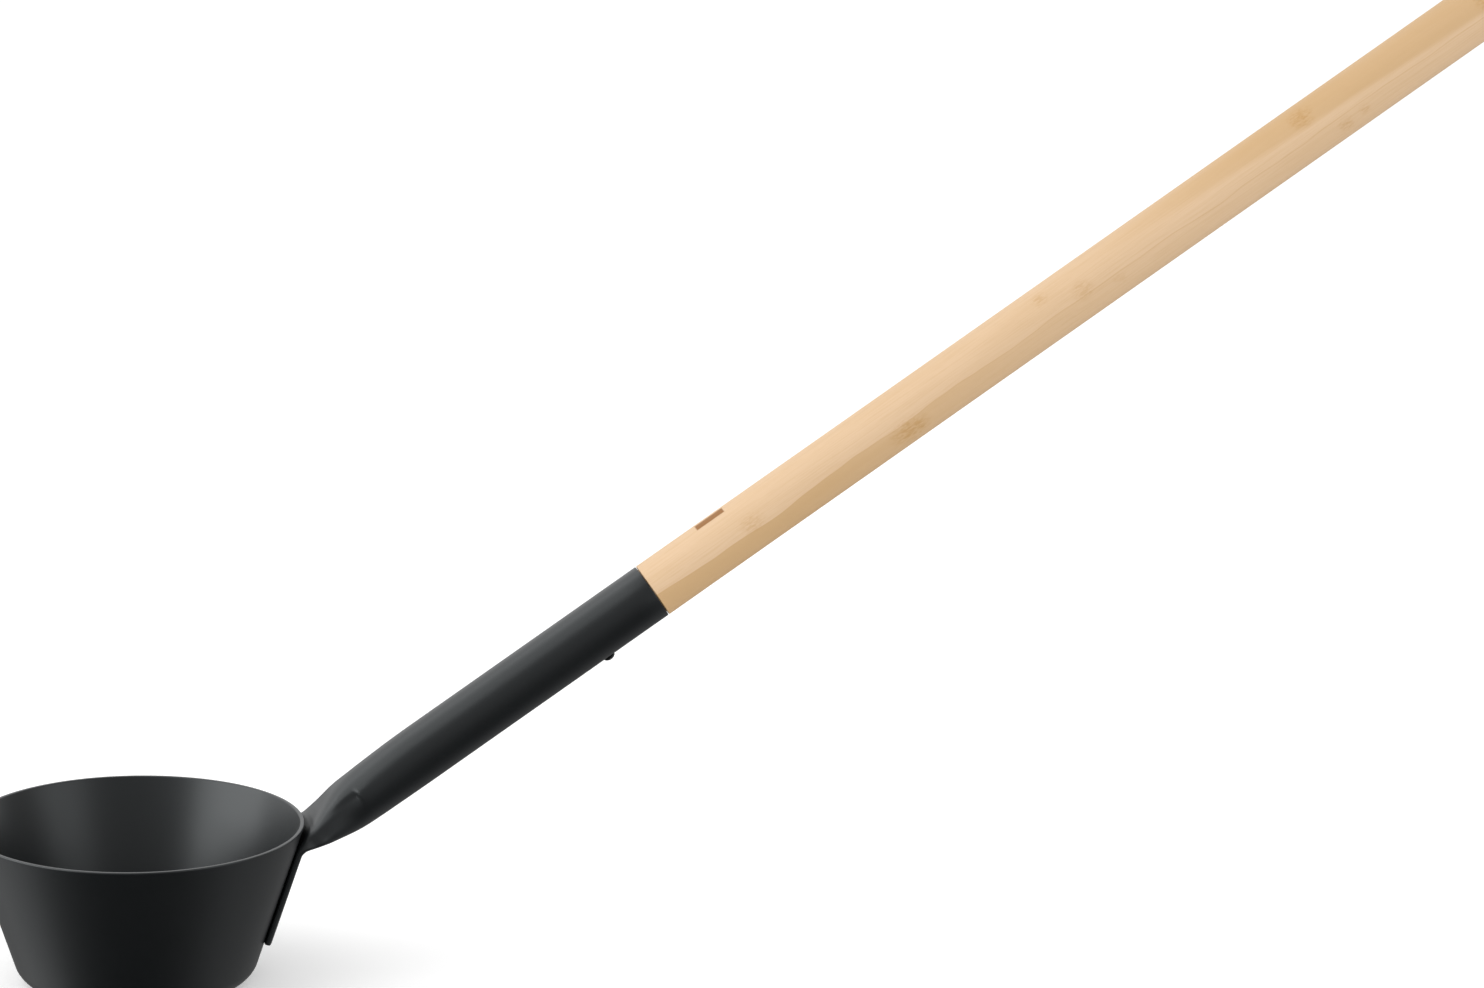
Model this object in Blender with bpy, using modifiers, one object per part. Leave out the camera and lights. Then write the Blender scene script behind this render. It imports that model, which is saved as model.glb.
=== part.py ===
"""Sauna ladle: a conical steel bowl, a steel tube pressed flat and bent into a tab on the bowl's wall,
a round bamboo handle that plugs into the tube, and one screw that keeps it there.

Metres, Z up. The origin is the centre of the bowl's flat base. The handle rises toward +X in the
XZ plane, so the ladle is symmetric about that plane.
"""

import math

import bmesh
import bpy
from mathutils import Vector

# Bowl
RIM_RADIUS = 0.0575
BOWL_HEIGHT = 0.0553
WALL_LEAN = math.radians(18.3)
BOWL_WALL = 0.0015
BASE_CORNER = 0.0092
RIM_ROUNDING = 0.0005
RIM_SHARE = 0.45

# Tube, pressed flat at its lower end
TUBE_RADIUS = 0.010
TUBE_WALL = 0.0011
TUBE_RUN = 0.1480
HANDLE_RISE = math.radians(33.9)
BEND_BELOW_RIM = 0.0094
BEND_RADIUS = 0.0060
TAB_ABOVE_CORNER = 0.0077
FLAT_SPRING = 0.0001
AXIS_ABOVE_TAB = 0.0006

# How the tube closes, as distances up the tube from the bend
FLAT_END = 0.0038
HUG_END = 0.0050
PRESS_END = 0.0260
SPREAD_END = 0.0520
SPREAD_SHARE = 0.145
CREASE_DEPTH = 0.00035
CREASE_WIDTH = 0.0011
CREASE_START = 0.0100
CREASE_RISE = math.radians(47)
BORE_END = 0.0048

# Handle
HANDLE_LENGTH = 0.365
HANDLE_END_ROUNDING = 0.0025
TENON_LENGTH = 0.050
TENON_CHAMFER = 0.0010

# Screw
SCREW_FROM_END = 0.0248
SCREW_LENGTH = 0.0120
SHANK_RADIUS = 0.00125
POINT_LENGTH = 0.0030
HEAD_RADIUS = 0.0021
HEAD_HEIGHT = 0.0014
HEAD_EDGE = 0.0004
RECESS_SPAN = 0.0022
RECESS_WIDTH = 0.0005
RECESS_DEPTH = 0.0009

# Clearances
SEAT_GAP = 0.0003
TENON_CLEARANCE = 0.0003
SCREW_CLEARANCE = 0.0003

# Fineness: steps round each turned piece, segments in each rounded edge, and sections along the tube
BOWL_STEPS = 80
HANDLE_STEPS = 48
SCREW_STEPS = 24
CORNER_SEGMENTS = 9
RIM_SEGMENTS = 3
HANDLE_END_SEGMENTS = 5
DOME_SEGMENTS = 6
TAB_SECTIONS = 5
BEND_SECTIONS = 7
PRESS_SECTIONS = 15
SPREAD_SECTIONS = 5
BORE_SECTIONS = 9
GIRTH_BANDS = [(0, 0.16, 4), (0.16, 0.60, 20), (0.60, 1, 8)]
SHARP_ANGLE = math.radians(35)
MERGE = 0.00001
CUT_SPARE = 0.002

# Worked out from the sizes above
BORE_RADIUS = TUBE_RADIUS - TUBE_WALL
TENON_RADIUS = BORE_RADIUS - TENON_CLEARANCE
HANDLE_RADIUS = TUBE_RADIUS
HALF_GIRTH = math.pi * TUBE_RADIUS
BEND_HALF_HEIGHT = TUBE_WALL + FLAT_SPRING
BEND_ANGLE = math.pi / 2 - WALL_LEAN - HANDLE_RISE
BEND_SETBACK = BEND_RADIUS * math.tan(BEND_ANGLE / 2)
SCREW_SEAT = TUBE_RADIUS + SEAT_GAP
SCREW_HEIGHT = TUBE_RUN - SCREW_FROM_END

# Directions in the XZ plane
UP_HANDLE = Vector((math.cos(HANDLE_RISE), 0, math.sin(HANDLE_RISE)))
OFF_HANDLE = Vector((-math.sin(HANDLE_RISE), 0, math.cos(HANDLE_RISE)))
DOWN_WALL = Vector((-math.sin(WALL_LEAN), 0, -math.cos(WALL_LEAN)))
OFF_WALL = Vector((math.cos(WALL_LEAN), 0, -math.sin(WALL_LEAN)))
RIM_POINT = Vector((RIM_RADIUS, 0, BOWL_HEIGHT))


def clear_scene():
    for old in list(bpy.data.objects):
        bpy.data.objects.remove(old)


def new_collection(name):
    collection = bpy.data.collections.new(name)
    bpy.context.scene.collection.children.link(collection)
    return collection


def new_material(name, colour, roughness, metallic):
    material = bpy.data.materials.new(name)
    material.use_nodes = True
    shader = material.node_tree.nodes["Principled BSDF"]
    shader.inputs["Base Color"].default_value = (*colour, 1)
    shader.inputs["Roughness"].default_value = roughness
    shader.inputs["Metallic"].default_value = metallic
    return material


def new_object(name, mesh, collection, material=None, parent=None):
    thing = bpy.data.objects.new(name, mesh)
    collection.objects.link(thing)
    thing.parent = parent
    if material:
        mesh.materials.append(material)
    return thing


def rounded(corners):
    """An outline in the XZ plane through corners (x, z, radius, segments), each rounded by an arc."""
    points = []
    for i, (x, z, radius, segments) in enumerate(corners):
        here = Vector((x, z))
        if not radius:
            points.append(here)
            continue
        back = (Vector(corners[i - 1][:2]) - here).normalized()
        ahead = (Vector(corners[i + 1][:2]) - here).normalized()
        half = back.angle(ahead) / 2
        centre = here + (back + ahead).normalized() * (radius / math.sin(half))
        start = here + back * (radius / math.tan(half)) - centre
        turn = (math.pi - 2 * half) * (1 if back.x * ahead.y < back.y * ahead.x else -1)
        for k in range(segments + 1):
            angle = turn * k / segments
            cos, sin = math.cos(angle), math.sin(angle)
            points.append(centre + Vector((start.x * cos - start.y * sin, start.x * sin + start.y * cos)))
    return points


def turned(name, outline, steps, collection, material, parent=None):
    """A solid of revolution about its own Z axis. The outline runs down its outer side."""
    mesh = bpy.data.meshes.new(name)
    count = len(outline)
    mesh.from_pydata([(p.x, 0, p.y) for p in outline], [(i, i + 1) for i in range(count - 1)], [])
    thing = new_object(name, mesh, collection, material, parent)
    screw = thing.modifiers.new("turn", "SCREW")
    screw.axis = "Z"
    screw.angle = 2 * math.pi
    screw.steps = steps
    screw.render_steps = steps
    screw.use_merge_vertices = True
    screw.merge_threshold = MERGE
    screw.use_smooth_shade = True
    return thing


def cut(thing, cutter):
    boolean = thing.modifiers.new("cut by " + cutter.name, "BOOLEAN")
    boolean.operation = "DIFFERENCE"
    boolean.solver = "EXACT"
    boolean.object = cutter


def as_cutter(thing):
    thing.hide_render = True
    thing.display_type = "WIRE"
    return thing


def ease_out(value, start, end):
    """0 before start, 1 after end, rising fast first and level at the end."""
    share = min(max((value - start) / (end - start), 0), 1)
    return 1 - (1 - share) ** 2


def smooth(value, start, end):
    share = min(max((value - start) / (end - start), 0), 1)
    return share * share * (3 - 2 * share)


def build_bowl(collection, material):
    """A pressed bowl of even wall: inner floor, up the inside, over the rim and down the outside."""
    wall_across = BOWL_WALL / math.cos(WALL_LEAN)
    lean = math.tan(WALL_LEAN)
    rim_rounding = min(RIM_ROUNDING, RIM_SHARE * BOWL_WALL)
    inner_corner = RIM_RADIUS - wall_across - (BOWL_HEIGHT - BOWL_WALL) * lean
    outer_corner = RIM_RADIUS - BOWL_HEIGHT * lean
    outline = rounded(
        [
            (0, BOWL_WALL, 0, 0),
            (inner_corner, BOWL_WALL, BASE_CORNER - BOWL_WALL, CORNER_SEGMENTS),
            (RIM_RADIUS - wall_across, BOWL_HEIGHT, rim_rounding, RIM_SEGMENTS),
            (RIM_RADIUS, BOWL_HEIGHT, rim_rounding, RIM_SEGMENTS),
            (outer_corner, 0, BASE_CORNER, CORNER_SEGMENTS),
            (0, 0, 0, 0),
        ]
    )
    return turned("bowl", outline, BOWL_STEPS, collection, material)


def bend_corner():
    """Where the flattened tube's middle line meets the middle line of the tab."""
    return RIM_POINT + DOWN_WALL * BEND_BELOW_RIM + OFF_WALL * (SEAT_GAP + BEND_HALF_HEIGHT)


def tab_length():
    """From the bend's corner down the wall, to stop short of the rounded corner of the base."""
    straight_wall = (BOWL_HEIGHT - BASE_CORNER * (1 - math.sin(WALL_LEAN))) / math.cos(WALL_LEAN)
    return straight_wall - TAB_ABOVE_CORNER - BEND_BELOW_RIM


def half_height(up):
    """Half the tube's outside height at a distance up from the bend, and below it on the tab."""
    if up < 0:
        return TUBE_WALL + FLAT_SPRING * (1 + up / tab_length())
    pressed = (1 - SPREAD_SHARE) * ease_out(up, FLAT_END, PRESS_END)
    spread = SPREAD_SHARE * smooth(up, FLAT_END, SPREAD_END)
    return BEND_HALF_HEIGHT + (TUBE_RADIUS - BEND_HALF_HEIGHT) * (pressed + spread)


def spine(up):
    """The section's centre, and the direction off its top face, at a distance up from the bend."""
    corner = bend_corner()
    arc = BEND_RADIUS * BEND_ANGLE
    if up >= arc / 2:
        run = up - arc / 2 + BEND_SETBACK
        lift = AXIS_ABOVE_TAB * smooth(up, FLAT_END, SPREAD_END)
        return corner + UP_HANDLE * run + OFF_HANDLE * lift, OFF_HANDLE
    if up <= -arc / 2:
        down = -up - arc / 2 + BEND_SETBACK
        slack = BEND_HALF_HEIGHT - half_height(up)
        return corner + DOWN_WALL * down - OFF_WALL * slack, -OFF_WALL
    turn = HANDLE_RISE + (arc / 2 - up) / BEND_RADIUS
    centre = corner + UP_HANDLE * BEND_SETBACK - OFF_HANDLE * BEND_RADIUS
    off = Vector((-math.sin(turn), 0, math.cos(turn)))
    return centre + off * BEND_RADIUS, off


def wall_sag(across, height):
    """How far the round wall falls back from its front line, at a distance across it."""
    radius = RIM_RADIUS - (BOWL_HEIGHT - height) * math.tan(WALL_LEAN)
    narrowing = math.cos(2 * WALL_LEAN)
    root = math.sqrt(max(radius**2 - narrowing * across**2, 0))
    return math.cos(WALL_LEAN) * (radius - root) / narrowing


def section_point(along, up, inset):
    """A point of the tube's section, whose girth stays the same as it is pressed flat.

    along runs from the middle of the top face over the near side to the middle of the underside.
    The result is the distance across and the distance off the section's centre.
    """
    half = half_height(up)
    flat = (HALF_GIRTH - math.pi * half) / 2
    if along < flat:
        return along, half - inset
    if along > HALF_GIRTH - flat:
        return HALF_GIRTH - along, inset - half
    angle = (along - flat) / half
    crease_at = math.pi / 2 - CREASE_RISE
    off_crease = (angle - crease_at) * half / CREASE_WIDTH
    window = smooth(up, FLAT_END, CREASE_START) * (1 - smooth(up, PRESS_END - 2 * CREASE_WIDTH, PRESS_END))
    radius = half - inset - CREASE_DEPTH * window * math.exp(-off_crease * off_crease)
    return flat + radius * math.sin(angle), radius * math.cos(angle)


def girth_marks():
    """Positions over half the girth, closer together where the crease and the folded edges lie."""
    marks = []
    for start, end, count in GIRTH_BANDS:
        marks += spaced(start * HALF_GIRTH, end * HALF_GIRTH, count)
    return marks + [HALF_GIRTH]


def section_ring(up, inset=0):
    """A closed ring of points round the tube at a distance up from the bend."""
    centre, off = spine(up)
    hug = 1 - smooth(up, -BEND_RADIUS * BEND_ANGLE / 2, HUG_END)
    ring = []
    marks = girth_marks()
    for side, positions in ((-1, marks), (1, marks[-2:0:-1])):
        for along in positions:
            across, rise = section_point(along, up, inset)
            point = centre + off * (rise + hug * wall_sag(across, centre.z))
            ring.append(point + Vector((0, side * across, 0)))
    return ring


def spaced(start, end, count):
    return [start + (end - start) * k / count for k in range(count)]


def loft(name, rings, collection, material):
    """One closed solid through rings of equal count, capped at the first and the last ring."""
    shape = bmesh.new()
    loops = [[shape.verts.new(point) for point in ring] for ring in rings]
    count = len(loops[0])
    for lower, upper in zip(loops, loops[1:]):
        for i in range(count):
            j = (i + 1) % count
            shape.faces.new((lower[i], lower[j], upper[j], upper[i]))
    shape.faces.new(reversed(loops[0]))
    shape.faces.new(loops[-1])
    bmesh.ops.recalc_face_normals(shape, faces=shape.faces)
    mesh = bpy.data.meshes.new(name)
    shape.to_mesh(mesh)
    shape.free()
    mesh.shade_smooth()
    mesh.set_sharp_from_angle(angle=SHARP_ANGLE)
    return new_object(name, mesh, collection, material)


def build_ferrule(collection, material):
    """The tube: outside from the tab's end up to the open end, then inside back down to the pinch."""
    arc = BEND_RADIUS * BEND_ANGLE
    tab_end = -(tab_length() - BEND_SETBACK + arc / 2)
    open_end = TUBE_RUN - BEND_SETBACK + arc / 2
    outside = spaced(tab_end, -arc / 2, TAB_SECTIONS)
    outside += spaced(-arc / 2, arc / 2, BEND_SECTIONS)
    outside += spaced(arc / 2, PRESS_END, PRESS_SECTIONS)
    outside += spaced(PRESS_END, SPREAD_END, SPREAD_SECTIONS)
    outside += [SPREAD_END, open_end]
    inside = [open_end] + spaced(SPREAD_END, BORE_END, BORE_SECTIONS) + [BORE_END]
    rings = [section_ring(up) for up in outside]
    rings += [section_ring(up, TUBE_WALL) for up in inside]
    return loft("ferrule", rings, collection, material)


def build_handle(collection, material, handle_line):
    """Bamboo turned to the tube's own diameter, with a thinner tenon inside the tube."""
    foot = TUBE_RUN - TENON_LENGTH
    shoulder = TUBE_RUN + SEAT_GAP
    top = TUBE_RUN + HANDLE_LENGTH
    outline = rounded(
        [
            (0, top, 0, 0),
            (HANDLE_RADIUS, top, HANDLE_END_ROUNDING, HANDLE_END_SEGMENTS),
            (HANDLE_RADIUS, shoulder, 0, 0),
            (TENON_RADIUS, shoulder, 0, 0),
            (TENON_RADIUS, foot + TENON_CHAMFER, 0, 0),
            (TENON_RADIUS - TENON_CHAMFER, foot, 0, 0),
            (0, foot, 0, 0),
        ]
    )
    return turned("handle", outline, HANDLE_STEPS, collection, material, handle_line)


def build_screw(collection, cutters, material, handle_line):
    """A round-head screw that points up into the tenon from under the tube."""
    dome = HEAD_HEIGHT - HEAD_EDGE
    ball = (HEAD_RADIUS**2 + dome**2) / (2 * dome)
    sweep = math.asin(HEAD_RADIUS / ball)
    outline = []
    for k in range(DOME_SEGMENTS + 1):
        angle = sweep * k / DOME_SEGMENTS
        outline.append(Vector((ball * math.sin(angle), HEAD_HEIGHT - ball * (1 - math.cos(angle)))))
    outline += [
        Vector((HEAD_RADIUS, 0)),
        Vector((SHANK_RADIUS, 0)),
        Vector((SHANK_RADIUS, POINT_LENGTH - SCREW_LENGTH)),
        Vector((0, -SCREW_LENGTH)),
    ]
    screw = turned("screw", outline, SCREW_STEPS, collection, material, handle_line)
    screw.location = (SCREW_SEAT, 0, SCREW_HEIGHT)
    screw.rotation_euler = (0, math.pi / 2, 0)
    for turn in (0, math.pi / 2):
        mesh = bpy.data.meshes.new("recess")
        shape = bmesh.new()
        bmesh.ops.create_cube(shape, size=1)
        bmesh.ops.scale(shape, vec=(RECESS_SPAN, RECESS_WIDTH, 2 * RECESS_DEPTH), verts=shape.verts)
        shape.to_mesh(mesh)
        shape.free()
        blade = as_cutter(new_object("recess", mesh, cutters, parent=screw))
        blade.location = (0, 0, HEAD_HEIGHT)
        blade.rotation_euler = (0, 0, turn)
        cut(screw, blade)
    return screw


def build_screw_hole(cutters, handle_line):
    """A cutter for the clearance hole through the tube's underside and the blind hole in the tenon."""
    mesh = bpy.data.meshes.new("screw_hole")
    shape = bmesh.new()
    radius = SHANK_RADIUS + SCREW_CLEARANCE
    top = SCREW_SEAT + CUT_SPARE
    bottom = SCREW_SEAT - SCREW_LENGTH - SCREW_CLEARANCE
    bmesh.ops.create_cone(
        shape, cap_ends=True, segments=SCREW_STEPS, radius1=radius, radius2=radius, depth=top - bottom
    )
    shape.to_mesh(mesh)
    shape.free()
    hole = as_cutter(new_object("screw_hole", mesh, cutters, parent=handle_line))
    hole.location = ((top + bottom) / 2, 0, SCREW_HEIGHT)
    hole.rotation_euler = (0, math.pi / 2, 0)
    return hole


def build_handle_line(collection):
    """An empty on the handle's axis beside the bend: its Z runs up the handle, its X to the underside."""
    empty = bpy.data.objects.new("handle_line", None)
    collection.objects.link(empty)
    empty.location = bend_corner() + OFF_HANDLE * AXIS_ABOVE_TAB
    empty.rotation_euler = (0, math.pi / 2 - HANDLE_RISE, 0)
    return empty


def main():
    clear_scene()
    pieces = new_collection("sauna_ladle")
    cutters = new_collection("cutters")
    coat = new_material("black_coat", (0.016, 0.018, 0.019), 0.42, 0.0)
    bamboo = new_material("bamboo", (0.80, 0.59, 0.35), 0.48, 0.0)
    screw_coat = new_material("screw_black", (0.014, 0.014, 0.015), 0.35, 0.6)
    handle_line = build_handle_line(pieces)
    build_bowl(pieces, coat)
    ferrule = build_ferrule(pieces, coat)
    handle = build_handle(pieces, bamboo, handle_line)
    build_screw(pieces, cutters, screw_coat, handle_line)
    hole = build_screw_hole(cutters, handle_line)
    cut(ferrule, hole)
    cut(handle, hole)


main()
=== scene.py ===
# %% [markdown]
# # A sauna ladle
#
# The ladle is a conical steel bowl, a steel tube that is pressed flat at one end and bent down the
# bowl's wall, a round bamboo handle in the tube, and one screw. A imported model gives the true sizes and
# places. This script loads it as a fixed frame, makes a finer surface for each piece, gives each piece
# the finish of the real one, and lights it as for a product picture. All lengths are in metres.

# %% Load the fixed frame
import bisect
import math

import bmesh
import bpy
from mathutils import Matrix, Vector


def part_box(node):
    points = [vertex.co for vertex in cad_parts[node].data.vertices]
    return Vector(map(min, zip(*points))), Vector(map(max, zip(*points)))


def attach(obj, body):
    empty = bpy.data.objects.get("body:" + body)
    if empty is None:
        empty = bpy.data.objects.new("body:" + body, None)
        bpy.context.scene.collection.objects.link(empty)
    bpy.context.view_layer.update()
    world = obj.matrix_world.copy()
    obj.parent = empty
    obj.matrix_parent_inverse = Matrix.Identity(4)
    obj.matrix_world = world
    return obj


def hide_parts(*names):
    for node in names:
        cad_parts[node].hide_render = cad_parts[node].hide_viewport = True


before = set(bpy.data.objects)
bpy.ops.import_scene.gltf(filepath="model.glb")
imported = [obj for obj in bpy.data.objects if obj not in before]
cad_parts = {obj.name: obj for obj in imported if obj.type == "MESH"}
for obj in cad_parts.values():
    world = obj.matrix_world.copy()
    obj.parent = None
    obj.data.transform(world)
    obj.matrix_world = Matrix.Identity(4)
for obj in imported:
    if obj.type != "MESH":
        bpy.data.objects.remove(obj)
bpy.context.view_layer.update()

scene = bpy.context.scene
scene.view_settings.view_transform = "Standard"
print("nodes in the frame:", sorted(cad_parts))

# %% [markdown]
# ## The sizes
#
# The bowl is a pressed cone of even wall. The tube is stock 20 mm tube, and the handle is turned to the
# same diameter, so the two run flush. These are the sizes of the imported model, because the finer
# surfaces have to fit it.

# %% Sizes of the four pieces
RIM_RADIUS = 0.0575
BOWL_HEIGHT = 0.0553
WALL_LEAN = math.radians(18.3)
BOWL_WALL = 0.0015
BASE_CORNER = 0.0092
RIM_ROUNDING = 0.0005

TUBE_RADIUS = 0.010
TUBE_WALL = 0.0011
TUBE_RUN = 0.1480
HANDLE_RISE = math.radians(33.9)
BEND_BELOW_RIM = 0.0094
BEND_RADIUS = 0.0060
TAB_ABOVE_CORNER = 0.0077
FLAT_SPRING = 0.0001
AXIS_ABOVE_TAB = 0.0006
SEAT_GAP = 0.0003

HANDLE_LENGTH = 0.365
TENON_LENGTH = 0.050
TENON_RADIUS = 0.0086
SCREW_FROM_END = 0.0248

_, bowl_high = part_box("bowl")
print("bowl in the frame:", round(bowl_high.y * 2000, 1), "mm across")
print("bowl in the frame:", round(bowl_high.z * 1000, 1), "mm high")

# %% [markdown]
# The tube follows one bent line. It comes down the handle's axis to a corner just off the bowl's wall,
# turns there by the angle between the handle and the wall, and runs on down the wall as the tab. The
# corner could be typed in as a point. It is worked out from the rim instead, so that the tab stays on the
# wall whatever the bowl's size and lean.

# %% Directions and places along the tube
up_handle = Vector((math.cos(HANDLE_RISE), 0, math.sin(HANDLE_RISE)))
off_handle = Vector((-math.sin(HANDLE_RISE), 0, math.cos(HANDLE_RISE)))
down_wall = Vector((-math.sin(WALL_LEAN), 0, -math.cos(WALL_LEAN)))
off_wall = Vector((math.cos(WALL_LEAN), 0, -math.sin(WALL_LEAN)))

bend_half_height = TUBE_WALL + FLAT_SPRING
bend_angle = math.pi / 2 - WALL_LEAN - HANDLE_RISE
bend_setback = BEND_RADIUS * math.tan(bend_angle / 2)
bend_arc = BEND_RADIUS * bend_angle
rim_point = Vector((RIM_RADIUS, 0, BOWL_HEIGHT))
bend_corner = rim_point + down_wall * BEND_BELOW_RIM + off_wall * (SEAT_GAP + bend_half_height)
straight_wall = (BOWL_HEIGHT - BASE_CORNER * (1 - math.sin(WALL_LEAN))) / math.cos(WALL_LEAN)
tab_length = straight_wall - TAB_ABOVE_CORNER - BEND_BELOW_RIM

axis_foot = bend_corner + off_handle * AXIS_ABOVE_TAB
handle_line = Matrix.Translation(axis_foot) @ Matrix.Rotation(math.pi / 2 - HANDLE_RISE, 4, "Y")
print("the tab is", round(tab_length * 1000, 1), "mm long")
print("the tube ends at", [round(c, 4) for c in axis_foot + up_handle * TUBE_RUN])

# %% [markdown]
# ## The camera
#
# The picture looks down into the bowl from a little above, past its left side, with a long lens from
# about two metres. A long lens keeps the handle's sides nearly parallel. The camera is placed from two
# angles and a distance to the point in the middle of the picture, because these are easy to read off a
# photograph: how round the rim looks gives the height, and how much the handle shortens gives the side.

# %% Directions seen from the camera
CAMERA_AZIMUTH = math.radians(-12.911)
CAMERA_ELEVATION = math.radians(13.678)
CAMERA_ROLL = math.radians(0.841)

towards_camera = Vector(
    (
        math.sin(CAMERA_AZIMUTH) * math.cos(CAMERA_ELEVATION),
        -math.cos(CAMERA_AZIMUTH) * math.cos(CAMERA_ELEVATION),
        math.sin(CAMERA_ELEVATION),
    )
)
level_right = Vector((math.cos(CAMERA_AZIMUTH), math.sin(CAMERA_AZIMUTH), 0))
level_up = towards_camera.cross(level_right)
camera_right = level_right * math.cos(CAMERA_ROLL) + level_up * math.sin(CAMERA_ROLL)
camera_up = level_up * math.cos(CAMERA_ROLL) - level_right * math.sin(CAMERA_ROLL)
print("the camera looks along", [round(-c, 3) for c in towards_camera])

# %% Place the camera
RIM_CENTRE = Vector((0, 0, BOWL_HEIGHT))
CAMERA_DISTANCE = 2.0
MIDDLE_RIGHT_OF_RIM = 0.206050
MIDDLE_ABOVE_RIM = 0.111660
LENS_MM = 142.87
SENSOR_MM = 36
FARTHEST_SEEN = 20

picture_middle = RIM_CENTRE + camera_right * MIDDLE_RIGHT_OF_RIM + camera_up * MIDDLE_ABOVE_RIM
lens = bpy.data.cameras.new("camera")
lens.lens = LENS_MM
lens.sensor_width = SENSOR_MM
lens.clip_end = FARTHEST_SEEN
camera = bpy.data.objects.new("camera", lens)
turn = Matrix((camera_right, camera_up, towards_camera)).transposed()
camera.matrix_world = Matrix.Translation(picture_middle + towards_camera * CAMERA_DISTANCE) @ turn.to_4x4()
scene.collection.objects.link(camera)
scene.camera = camera
print("camera at", [round(c, 3) for c in camera.matrix_world.translation])

# %% [markdown]
# ## Helpers for pieces
#
# Three of the four pieces are turned shapes. A lathe needs one outline, so the first helper joins a few
# corner points with edges and rounds each corner with a vertex bevel, and the second spins that outline
# once round and closes its two poles. Rounding before spinning costs one small bevel and gives every
# edge of the turned piece its true radius. The third helper turns any finished bmesh into a piece that
# stands for a node of the frame.

# %% Helper: an outline with rounded corners
def draw_outline(shape, corners):
    """Join corner points (radius, height, rounding, segments) and round those that have a rounding."""
    points = [Vector((radius, 0, height)) for radius, height, _, _ in corners]
    verts = [shape.verts.new(point) for point in points]
    for start, end in zip(verts, verts[1:]):
        shape.edges.new((start, end))
    for i, (_, _, rounding, segments) in enumerate(corners):
        if rounding:
            half = (points[i - 1] - points[i]).angle(points[i + 1] - points[i]) / 2
            bmesh.ops.bevel(
                shape,
                geom=[verts[i]],
                offset=rounding / math.tan(half),
                offset_type="OFFSET",
                segments=segments,
                profile=0.5,
                affect="VERTICES",
                material=-1,
            )


# %% Helper: spin an outline into a solid
POLE_GAP = 1e-7


def spin_outline(shape, steps):
    bmesh.ops.spin(
        shape,
        geom=shape.verts[:] + shape.edges[:],
        cent=(0, 0, 0),
        axis=(0, 0, 1),
        dvec=(0, 0, 0),
        angle=2 * math.pi,
        steps=steps,
        use_merge=True,
    )
    bmesh.ops.remove_doubles(shape, verts=shape.verts, dist=POLE_GAP)


# %% Helper: make a bmesh a piece of the ladle
SHARP_ANGLE = math.radians(38)


def make_piece(shape, name, material, node):
    """Turn the faces outwards, shade them smooth, and let the piece stand for a node of the frame."""
    bmesh.ops.recalc_face_normals(shape, faces=shape.faces)
    mesh = bpy.data.meshes.new(name)
    shape.to_mesh(mesh)
    shape.free()
    mesh.shade_smooth()
    mesh.set_sharp_from_angle(angle=SHARP_ANGLE)
    mesh.materials.append(material)
    piece = bpy.data.objects.new(name, mesh)
    scene.collection.objects.link(piece)
    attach(piece, "root")
    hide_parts(node)
    print(name, "has", sum(len(face.vertices) - 2 for face in mesh.polygons), "triangles")
    return piece


# %% [markdown]
# ## Helpers for materials
#
# A material is a small graph of nodes. These helpers add a node, join its inputs to other nodes or to
# plain numbers, and return an output, so that a graph reads like a sum from its first line to its last.

# %% Helper: add a node to a graph
def add_node(tree, kind, inputs=None, output=0, **settings):
    """Add a node, set its options, feed its inputs with numbers or outputs, and return one output."""
    node = tree.nodes.new(kind)
    for option, value in settings.items():
        setattr(node, option, value)
    for socket, value in (inputs or {}).items():
        if isinstance(value, bpy.types.NodeSocket):
            tree.links.new(value, node.inputs[socket])
        else:
            node.inputs[socket].default_value = value
    return node.outputs[output]


# %% Helpers: sums, mixes, fades and noise
def maths(tree, operation, *values, clamp=False):
    return add_node(
        tree, "ShaderNodeMath", dict(enumerate(values)), operation=operation, use_clamp=clamp
    )


def mix_colours(tree, share, first, second):
    """Mix two colours. The node has sockets for numbers too, so its colours are picked by their place."""
    return add_node(tree, "ShaderNodeMix", {0: share, 6: first, 7: second}, output=2, data_type="RGBA")


def fade(tree, value, start, end, low=0.0, high=1.0):
    """A smooth step from low at start to high at end."""
    inputs = {"Value": value, "From Min": start, "From Max": end, "To Min": low, "To Max": high}
    return add_node(tree, "ShaderNodeMapRange", inputs, interpolation_type="SMOOTHSTEP")


def noise(tree, vector, scale, detail=2.0, roughness=0.5):
    inputs = {"Vector": vector, "Scale": scale, "Detail": detail, "Roughness": roughness}
    return add_node(tree, "ShaderNodeTexNoise", inputs, output="Fac")


def new_material(name):
    """Make a material, and return it with its graph and its shader."""
    material = bpy.data.materials.new(name)
    material.use_nodes = True
    return material, material.node_tree, material.node_tree.nodes["Principled BSDF"]


# %% [markdown]
# ## The black powder coat
#
# The bowl and the tube are sprayed with black powder and baked. The powder melts into a satin skin that
# is never quite flat: it has a faint orange peel about a millimetre wide, with a finer grain on it, and
# its gloss changes a little from place to place. One node group makes these from any object's own
# coordinates, and each coated piece sets its own sizes, because the screw's blacking is thinner and
# finer than the powder on the steel.

# %% Build the coat's node group
GRAIN_PER_PEEL = 4.0
PATCHES_PER_PEEL = 0.04


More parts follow.
